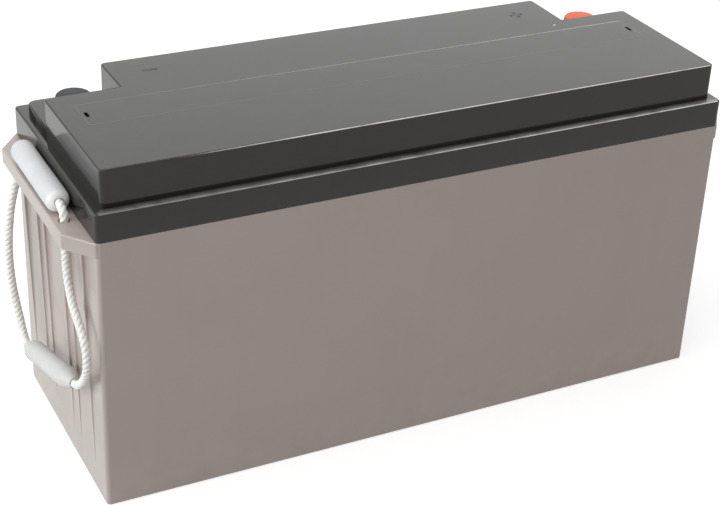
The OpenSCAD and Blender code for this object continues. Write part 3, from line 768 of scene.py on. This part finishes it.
def gusset(bm, side, place):
    """Tapered rib under the flange, with soft edges and a fillet along the wall."""
    heights = (GUSSET_FOOT + 0.4, 21, 26, 36, 55, 80, 110, 140, 165, FLANGE_LOW + 0.3)
    sunk, rings = 0.6, []
    for z in heights:
        reach = GUSSET_REACH * (z - GUSSET_FOOT) / (FLANGE_LOW - GUSSET_FOOT)
        fillet, edge = min(1.0, 0.6 * reach), min(0.6, 0.4 * reach)
        half = [(-sunk, GUSSET_HALF + fillet)]
        half += [(fillet * (1 - math.cos(a)), GUSSET_HALF + fillet * (1 - math.sin(a)))
                 for a in quarter(3)]
        half += [(reach - edge * (1 - math.sin(a)), GUSSET_HALF - edge * (1 - math.cos(a)))
                 for a in quarter(3)]
        points = half + [(u, -v) for u, v in reversed(half)]
        rings.append(ring_of(bm, [(side * (CASE_X + u), place + v) for u, v in points], z))
    for low, high in zip(rings, rings[1:]):
        for k in range(len(low) - 1):
            corners = (low[k], low[k + 1], high[k + 1], high[k])
            bm.faces.new(corners if side < 0 else corners[::-1])


def flange(bm, side):
    """End flange with two rope holes."""
    corners = [(FLANGE_ROOT_X, -FLANGE_ROOT_Y), (CASE_X, -FLANGE_ROOT_Y), (FLANGE_X, -FLANGE_EDGE_Y),
               (FLANGE_X, FLANGE_EDGE_Y), (CASE_X, FLANGE_ROOT_Y), (FLANGE_ROOT_X, FLANGE_ROOT_Y)]
    radii = [0.0, 2.5, 3.0, 3.0, 2.5, 0.0]
    if side < 0:
        corners = [(-x, -y) for x, y in corners]
    levels = foot_round(0.8, FLANGE_LOW) + top_round(1.1, WALL_TOP)
    rings = stack(bm, lambda inset: outline(corners, radii, inset), levels)
    hole_levels = hole_mouth(0.7, WALL_TOP) + [(0.0, FLANGE_LOW + 0.6, 0.0), (-0.6, FLANGE_LOW, 1.0)]
    holes = [stack(bm, lambda inset: circle(side * ROPE_X, y, HOLE_R - inset), hole_levels)
             for y in (-ROPE_Y, ROPE_Y)]
    cover_face(bm, [rings[-1]] + [hole[0] for hole in holes])
    cover_face(bm, [rings[0]] + [hole[-1] for hole in holes], up=False)


def case_inside(p):
    """Whether a point of the container's solid belongs to its cells or its tongue."""
    cells_x, cells_y = CASE_X - END_WALL, CASE_Y - SIDE_WALL
    tongue_x, tongue_y = CASE_X - TONGUE_INSET, CASE_Y - TONGUE_INSET
    return ((p.z > CASE_FLOOR - SLACK and within(p, cells_x, -cells_y, cells_y))
            or (p.z > WALL_TOP - SLACK and within(p, tongue_x, -tongue_y, tongue_y)))


def make_container():
    """Container with its gussets and flanges, and its inside from the solid."""
    bm = new_mesh()
    levels = foot_round(0.9, 0, 4) + [(0, z, 0.0) for z in (40, 150, WALL_TOP - 0.5)]
    levels += [(0.15, WALL_TOP - 0.15, 1.0), (0.5, WALL_TOP, 1.0), (TONGUE_INSET, WALL_TOP, 0.0)]
    rings = stack(bm, lambda i: box_outline(CASE_X, -CASE_Y, CASE_Y, CASE_R, i), levels)
    bm.faces.new(rings[0][::-1])
    for place in GUSSETS:
        gusset(bm, -1, place)
        gusset(bm, 1, place)
    flange(bm, -1)
    flange(bm, 1)
    inner_faces(bm, "container", case_inside)
    make_piece("moulded_container", bm, CASE, "battery", ["container"])


make_container()


# Lid

# Points on the block's front edge: its painted highlight starts at the first and is full from the second on
HIGHLIGHT_START, HIGHLIGHT_FULL, HIGHLIGHT_RIGHT = -175, -75, 190
BLOCK_CORNERS = [(-BLOCK_X, BLOCK_FRONT), (HIGHLIGHT_START, BLOCK_FRONT), (HIGHLIGHT_FULL, BLOCK_FRONT),
                 (HIGHLIGHT_RIGHT, BLOCK_FRONT), (BLOCK_X, BLOCK_FRONT), (BLOCK_X, FRONT_BLOCK_REAR),
                 (REAR_RIGHT, FRONT_BLOCK_REAR), (REAR_RIGHT, BLOCK_REAR), (REAR_LEFT, BLOCK_REAR),
                 (REAR_LEFT, FRONT_BLOCK_REAR), (-BLOCK_X, FRONT_BLOCK_REAR)]
BLOCK_RADII = [BLOCK_R, 0, 0, 0, BLOCK_R, BLOCK_R, NOOK_R, BLOCK_R, BLOCK_R, NOOK_R, BLOCK_R]
# Depth to which one moulded form is sunk into another
SUNK = 0.5


def mark_outlines():
    """Outlines of the polarity marks and of the moulding dot, each as a function of its inset."""
    a, b, corner_r = MARK_HALF, STROKE_HALF, 0.2
    cross = [(-b, -a), (b, -a), (b, -b), (a, -b), (a, b), (b, b),
             (b, a), (-b, a), (-b, b), (-a, b), (-a, -b), (-b, -b)]
    stroke = [(-a, -b), (a, -b), (a, b), (-a, b)]
    plus = [(REAR_RIGHT - MARK_INSET + x, TERMINAL_Y + y) for x, y in cross]
    minus = [(REAR_LEFT + MARK_INSET + x, TERMINAL_Y + y) for x, y in stroke]
    return [lambda inset: outline(plus, [corner_r] * len(plus), inset, 2),
            lambda inset: outline(minus, [corner_r] * len(minus), inset, 2),
            lambda inset: circle(DOT_X, DOT_Y, DOT_R - inset, 24)]


def lid_inside(p):
    """Whether a point of the lid's solid belongs to its hollows, its groove, its trough or its bores."""
    trough_x, trough_y = COVER_X + COVER_SEAM, COVER_Y + COVER_SEAM
    groove_x, groove_y = CASE_X - GROOVE_INSET, CASE_Y - GROOVE_INSET
    hollow_x, hollow_front, hollow_rear = BLOCK_X - LID_WALL, BLOCK_FRONT + LID_WALL, BLOCK_REAR - LID_WALL
    rear_left, rear_right = REAR_LEFT + LID_WALL - SLACK, REAR_RIGHT - LID_WALL + SLACK
    in_trough = p.z > FLOOR_TOP - SLACK and within(p, trough_x, -trough_y, trough_y)
    in_bore = p.z < FLOOR_TOP + SLACK and any(
        math.hypot(p.x - x, p.y - TERMINAL_Y) < BORE_R + SLACK for x in TERMINAL_X.values())
    in_band = p.z < BAND_TOP - SLACK and within(p, groove_x, -groove_y, groove_y)
    in_head = p.z < FLOOR_TOP - LID_WALL + SLACK and within(p, hollow_x, hollow_front, hollow_rear)
    in_front = within(p, hollow_x, hollow_front, FRONT_BLOCK_REAR - LID_WALL)
    in_rear = rear_left < p.x < rear_right and 0 < p.y < hollow_rear + SLACK
    in_block = BAND_TOP - SLACK <= p.z < TOP - LID_WALL + SLACK and (in_front or in_rear)
    return in_trough or in_bore or in_band or in_head or in_block


def paint_front_highlight(bm, ring, at_left, at_right):
    """Painted highlight along a ring's front edge, with its strength at the left and further on."""
    pale = bm.verts.layers.float["pale"]
    front = min(vert.co.y for vert in ring)
    for vert in ring:
        if vert.co.y < front + 0.05:
            along = clamp((vert.co.x - HIGHLIGHT_START) / (HIGHLIGHT_FULL - HIGHLIGHT_START))
            vert[pale] = at_left + (at_right - at_left) * along


def add_block(bm):
    """Stepped block with its rebate for the vent cover and its marks."""
    rings = stack(bm, lambda i: outline(BLOCK_CORNERS, BLOCK_RADII, i),
                  [(0, BAND_TOP - SUNK, 0.0)] + top_round(1.1, TOP, 5))
    # Painted highlight along the block's top front edge
    for ring in rings[-4:-2]:
        paint_front_highlight(bm, ring, 0.0, 1.6)
    rebate_x, rebate_y = COVER_X + COVER_SEAM, COVER_Y + COVER_SEAM
    rebate = stack(bm, lambda i: box_outline(rebate_x, -rebate_y, rebate_y, COVER_R + COVER_SEAM, i),
                   hole_mouth(0.12, TOP) + [(0, SEAT, 0.0)], inwards=True)
    holes = [rebate[0]]
    for make in mark_outlines():
        mark = stack(bm, make, [(-0.15, TOP, 0.0), (0.35, TOP - 0.015, 0.0)], inwards=True)
        cover_face(bm, [mark[-1]])
        holes.append(mark[0])
    # The moulding dot is painted pale as a glint
    moulding_dot, pale = mark[-1], bm.verts.layers.float["pale"]
    for vert in moulding_dot:
        vert[pale] = 1.0
    cover_face(bm, [rings[-1]] + holes)


def add_terminal_floor(bm, side):
    """Raised floor under a terminal, with the terminal's bore."""
    lap, margin = 1.0, 0.2
    inner = REAR_RIGHT - lap if side > 0 else -lap - REAR_LEFT
    front, outer, rear = FRONT_BLOCK_REAR - lap, BLOCK_X - margin, BLOCK_REAR - margin
    pad, radii = [(inner, front), (outer, front), (outer, rear), (inner, rear)], [0, 0, PAD_R, 0]
    if side < 0:
        pad, radii = [(-x, y) for x, y in reversed(pad)], radii[::-1]
    walls = stack(bm, lambda i: outline(pad, radii, i),
                  [(0, BAND_TOP - SUNK, 0.0)] + top_round(0.8, FLOOR_TOP))
    bore = stack(bm, lambda i: circle(TERMINAL_X[side], TERMINAL_Y, BORE_R - i, 48),
                 [(-0.3, FLOOR_TOP, 1.0), (0, FLOOR_TOP - 0.3, 1.0), (0, FLOOR_TOP - 0.6, 0.0)],
                 inwards=True)
    cover_face(bm, [walls[-1], bore[0]])


def make_lid():
    """Lid with its band, ledge, block and terminal floors, and its inside from the solid."""
    bm = new_mesh()
    tuck = 0.3
    band = [(GROOVE_INSET, WALL_TOP, 0.0)] + foot_round(0.4, WALL_TOP, 2) + top_round(1.2, BAND_TOP)
    rings = stack(bm, lambda i: box_outline(CASE_X, -CASE_Y, CASE_Y, CASE_R, i), band)
    # Painted highlight along the band's top front edge
    for ring, at_left, at_right in zip(rings[-3:], (0.35, 0.3, 0.28), (1.5, 0.7, 0.42)):
        paint_front_highlight(bm, ring, at_left, at_right)
    ledge = box_outline(BLOCK_X - tuck, BLOCK_FRONT + tuck, BLOCK_REAR - tuck, BLOCK_R - tuck,
                        radius_rear=PAD_R - tuck)
    cover_face(bm, [rings[-1], ring_of(bm, ledge, BAND_TOP)])
    add_block(bm)
    add_terminal_floor(bm, -1)
    add_terminal_floor(bm, 1)
    inner_faces(bm, "lid", lid_inside)
    make_piece("moulded_lid", bm, LID, "battery", ["lid"])


def add_weld_bead(bm):
    """Low bead of weld round the vent cover, faintly pale all round, with a painted highlight along the rear
    that grows to the right.
    """
    overlap, low, high = 0.6, TOP - 0.02, TOP + 0.04
    bead_x, bead_y, bead_r = COVER_X + overlap, COVER_Y + overlap, COVER_R + overlap
    bead = stack(bm, lambda i: box_outline(bead_x, -bead_y, bead_y, bead_r, i),
                 [(0, low, 0.0), (0.3, high, 0.0), (0.7, high, 0.0), (1.0, low, 0.0)])
    pale = bm.verts.layers.float["pale"]
    # Painted highlight along the rear seam, growing to the right
    faint_x, bright_x, rear_y = -150, -70, 15
    for vert in (v for ring in bead for v in ring):
        along = clamp((vert.co.x - faint_x) / (bright_x - faint_x))
        vert[pale] = (0.06 + 0.5 * along) if vert.co.y > rear_y else 0.05


def make_vent_cover():
    """Vent cover strip with a pry slot at each end."""
    slot_x, half_width, half_length, depth = COVER_X - 3.0, 1.0, 3.5, 1.5
    slot_levels = [(-0.15, TOP, 1.0), (0, TOP - 0.15, 1.0), (0.05, TOP - depth, 0.0)]
    bm = new_mesh()
    walls = stack(bm, lambda i: box_outline(COVER_X, -COVER_Y, COVER_Y, COVER_R, i),
                  [(0.3, SEAT + 0.02, 0.0), (0, SEAT + 0.3, 0.0)] + top_round(0.12, TOP, 3))
    holes = []
    for side in (-1, 1):
        slot = [(side * slot_x + x * half_width, y * half_length)
                for x, y in ((-1, -1), (1, -1), (1, 1), (-1, 1))]
        rings = stack(bm, lambda i: outline(slot, [0.3] * len(slot), i, 2), slot_levels, inwards=True)
        cover_face(bm, [rings[-1]])
        holes.append(rings[0])
    cover_face(bm, [walls[-1]] + holes)
    cover_face(bm, [walls[0]], up=False)
    add_weld_bead(bm)
    make_piece("vent_cover_strip", bm, COVER, "battery", ["vent_cover"])


make_lid()
make_vent_cover()


# Terminals

def make_cap(word, side, material):
    """Push-on terminal cap with a soft edge, a rolled foot and a hollow inside."""
    skirt, shoulder, roof = CAP_R - 0.2, CAP_HEIGHT - CAP_CROWN - CAP_EDGE, CAP_HEIGHT - CAP_WALL
    profile = [(CAP_BORE, 0.4), (CAP_BORE + 0.4, 0.0), (CAP_R - 0.5, 0.0), (CAP_R - 0.12, 0.12),
               (CAP_R, 0.5), (CAP_R, 2.2), (skirt, 2.6)]
    profile += [(skirt - CAP_EDGE * (1 - math.cos(a)), shoulder + CAP_EDGE * math.sin(a))
                for a in quarter(8)]
    profile += [(7.0, CAP_HEIGHT - 0.38), (4.6, CAP_HEIGHT - 0.2), (2.2, CAP_HEIGHT - 0.05),
                (0, CAP_HEIGHT)]
    hollow = [(0, roof), (CAP_BORE - 2.4, roof), (CAP_BORE - 0.7, roof - 0.7), (CAP_BORE, roof - 2.4),
              (CAP_BORE, 0.4)]
    base = Vector((TERMINAL_X[side], TERMINAL_Y, FLOOR_TOP))
    bm = new_mesh()
    lathe(bm, profile, base, base + UP, 64)
    lathe(bm, hollow, base, base + UP, 64)
    bmesh.ops.remove_doubles(bm, verts=bm.verts, dist=0.001)
    make_piece(f"{word}_push_cap", bm, material, f"{word}_cover", [f"{word}_cap"], flat_faces=False)


def add_thread(bm, base, around=32, rows=96):
    """Tapped hole with a real thread and a drilled point, from the terminal's top downwards."""
    high, low, point = HEAD_TOP - 0.5, HEAD_TOP - TAPPED_DEPTH, 1.3
    grid = []
    for i in range(rows + 1):
        z = high + (low - high) * i / rows
        ring = []
        for k in range(around):
            t = (z / THREAD_PITCH - k / around) % 1.0
            radius = TAPPED_R + THREAD_DEPTH * (1 - abs(2 * t - 1))
            a = 2 * math.pi * k / around
            ring.append(bm.verts.new((base.x + radius * math.cos(a), base.y + radius * math.sin(a), z)))
        grid.append(ring)
    for upper, lower in zip(grid, grid[1:]):
        bridge(bm, upper, lower)
    tip = bm.verts.new((base.x, base.y, low - point))
    for k in range(around):
        bm.faces.new((grid[-1][k], grid[-1][(k + 1) % around], tip))


def make_terminal(word, side):
    """Threaded insert terminal: round head on a stem, with a tapped hole."""
    base = Vector((TERMINAL_X[side], TERMINAL_Y, 0))
    lift, bevel = 0.02, 0.4
    profile = [(0, STEM_FOOT + lift), (STEM_R - bevel, STEM_FOOT + lift), (STEM_R, STEM_FOOT + bevel),
               (STEM_R, FLOOR_TOP), (HEAD_R - bevel, FLOOR_TOP + lift), (HEAD_R, FLOOR_TOP + bevel),
               (HEAD_R, HEAD_TOP - 0.6), (HEAD_R - 0.15, HEAD_TOP - 0.25), (HEAD_R - 0.6, HEAD_TOP),
               (6.2, HEAD_TOP), (6.05, HEAD_TOP - 0.15), (5.9, HEAD_TOP), (4.5, HEAD_TOP),
               (4.0, HEAD_TOP - 0.5)]
    bm = new_mesh()
    lathe(bm, profile, base, base + UP, 64)
    add_thread(bm, base)
    make_piece(f"{word}_insert_terminal", bm, TERMINAL, "battery", [f"{word}_terminal"])


make_cap("negative", -1, BLACK_CAP)
make_cap("positive", 1, RED_CAP)
make_terminal("negative", -1)
make_terminal("positive", 1)


# Solids that show as they are

SOLID_LOOKS = {"positive_plates": POSITIVE_PLATE, "negative_plates": NEGATIVE_PLATE, "glass_mats": MAT,
               "strap": LEAD, "links": LEAD, "valve": VALVE, "positive_seal": RED_RESIN}

for name, node in NODES.items():
    if not node.hide_render:
        material = next((look for word, look in SOLID_LOOKS.items() if word in name), BLACK_RESIN)
        node.data.materials.clear()
        node.data.materials.append(material)


# Studio, in metres

FLOOR_HALF, FLOOR_Z, FLOOR_GREY, FLOOR_GLOW = 6, -0.0003, 0.52, 0.66
AMBIENT = 0.42
LIGHT_TARGET = Vector((0, 0, 0.15))


def seen_directly(tree, strength):
    """Strength for camera, glossy and transmission rays, and none for the rest."""
    rays = tree.nodes.new("ShaderNodeLightPath").outputs
    seen = rays["Is Camera Ray"]
    for key in ("Is Glossy Ray", "Is Transmission Ray"):
        seen = maths(tree, "MAXIMUM", seen, rays[key])
    return maths(tree, "MULTIPLY", seen, strength)


def make_floor():
    """Pale floor that shows white and keeps the part's shadow."""
    mesh = bpy.data.meshes.new("floor")
    bm = bmesh.new()
    bmesh.ops.create_grid(bm, x_segments=1, y_segments=1, size=FLOOR_HALF)
    bm.to_mesh(mesh)
    bm.free()
    floor = bpy.data.objects.new("floor", mesh)
    floor.location = (0, 0, FLOOR_Z)
    bpy.context.scene.collection.objects.link(floor)
    material = bpy.data.materials.new("pale_floor")
    material.use_nodes = True
    tree = material.node_tree
    tree.nodes.remove(tree.nodes["Principled BSDF"])
    diffuse = tree.nodes.new("ShaderNodeBsdfDiffuse")
    diffuse.inputs["Color"].default_value = (FLOOR_GREY, FLOOR_GREY, FLOOR_GREY, 1)
    glow = tree.nodes.new("ShaderNodeEmission")
    both = tree.nodes.new("ShaderNodeAddShader")
    tree.links.new(seen_directly(tree, FLOOR_GLOW), glow.inputs["Strength"])
    tree.links.new(diffuse.outputs[0], both.inputs[0])
    tree.links.new(glow.outputs[0], both.inputs[1])
    tree.links.new(both.outputs[0], tree.nodes["Material Output"].inputs["Surface"])
    mesh.materials.append(material)


def make_world():
    """White surroundings that light the part softly."""
    world = bpy.data.worlds.new("studio")
    bpy.context.scene.world = world
    world.use_nodes = True
    tree = world.node_tree
    background = tree.nodes["Background"]
    background.inputs["Color"].default_value = (1, 1, 1, 1)
    strength = maths(tree, "ADD", seen_directly(tree, 1 - AMBIENT), AMBIENT)
    tree.links.new(strength, background.inputs["Strength"])


def soft_light(name, direction, distance, size, radiance, colour=(1, 1, 1)):
    """Large rectangular light that faces the part, of a given brightness."""
    data = bpy.data.lights.new(name, "AREA")
    data.shape, data.size, data.size_y = "RECTANGLE", size[0], size[1]
    data.energy = radiance * math.pi * size[0] * size[1]
    data.color = colour
    light = bpy.data.objects.new(name, data)
    heading = Vector(direction).normalized()
    light.location = LIGHT_TARGET + heading * distance
    light.rotation_mode = "QUATERNION"
    light.rotation_quaternion = (-heading).to_track_quat("-Z", "Y")
    bpy.context.scene.collection.objects.link(light)


make_floor()
make_world()
soft_light("rear_panel", direction=(0.44, 0.76, 0.50), distance=2.4, size=(3.0, 1.9), radiance=0.53)
soft_light("left_key", direction=(-0.92, 0.18, 0.34), distance=2.4, size=(1.4, 1.3), radiance=4.6,
           colour=(0.85, 1.0, 0.975))
soft_light("overhead", direction=(-0.12, -0.05, 0.98), distance=2.4, size=(1.8, 1.4), radiance=2.3)
soft_light("front_fill", direction=(-0.85, -0.42, 0.32), distance=2.0, size=(1.6, 1.0), radiance=2.4,
           colour=(1.0, 0.94, 0.90))

scene = bpy.context.scene
scene.view_settings.view_transform = "Standard"
